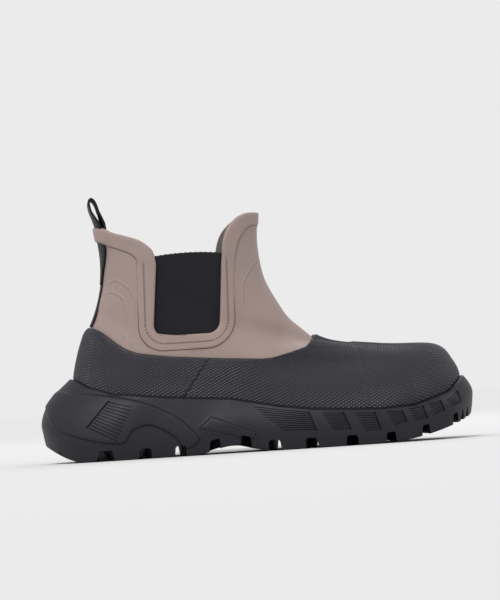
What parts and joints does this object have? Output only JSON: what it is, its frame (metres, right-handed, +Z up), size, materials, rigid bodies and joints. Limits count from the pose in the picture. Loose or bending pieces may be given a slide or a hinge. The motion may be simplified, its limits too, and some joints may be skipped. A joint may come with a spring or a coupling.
{
  "type": "rain boot",
  "caption": "Ankle-high right rain boot with elastic side panels, a textured guard round the foot, a pull loop and a lugged sole.",
  "frame": {"origin": "bottom centre of the bounding box, on the floor plane under the lugs", "axes": "+X toward the toe, +Y toward the inner side of the right foot, +Z up"},
  "size_m": [0.296, 0.1148, 0.1779],
  "materials": {
    "taupe_rubber": "satin",
    "black_rubber": "satin",
    "black_elastic": "matt ribbed",
    "loop_tape": "glossy woven tape",
    "insole_cloth": "matt"
  },
  "bodies": {
    "root": {"outsole": "black_rubber", "upper": "taupe_rubber", "foot_guard": "black_rubber", "insole": "insole_cloth", "elastic_panel_outer": "black_elastic", "elastic_panel_inner": "black_elastic", "pull_loop": "loop_tape", "back_strip": "black_rubber"}
  },
  "joints": []
}
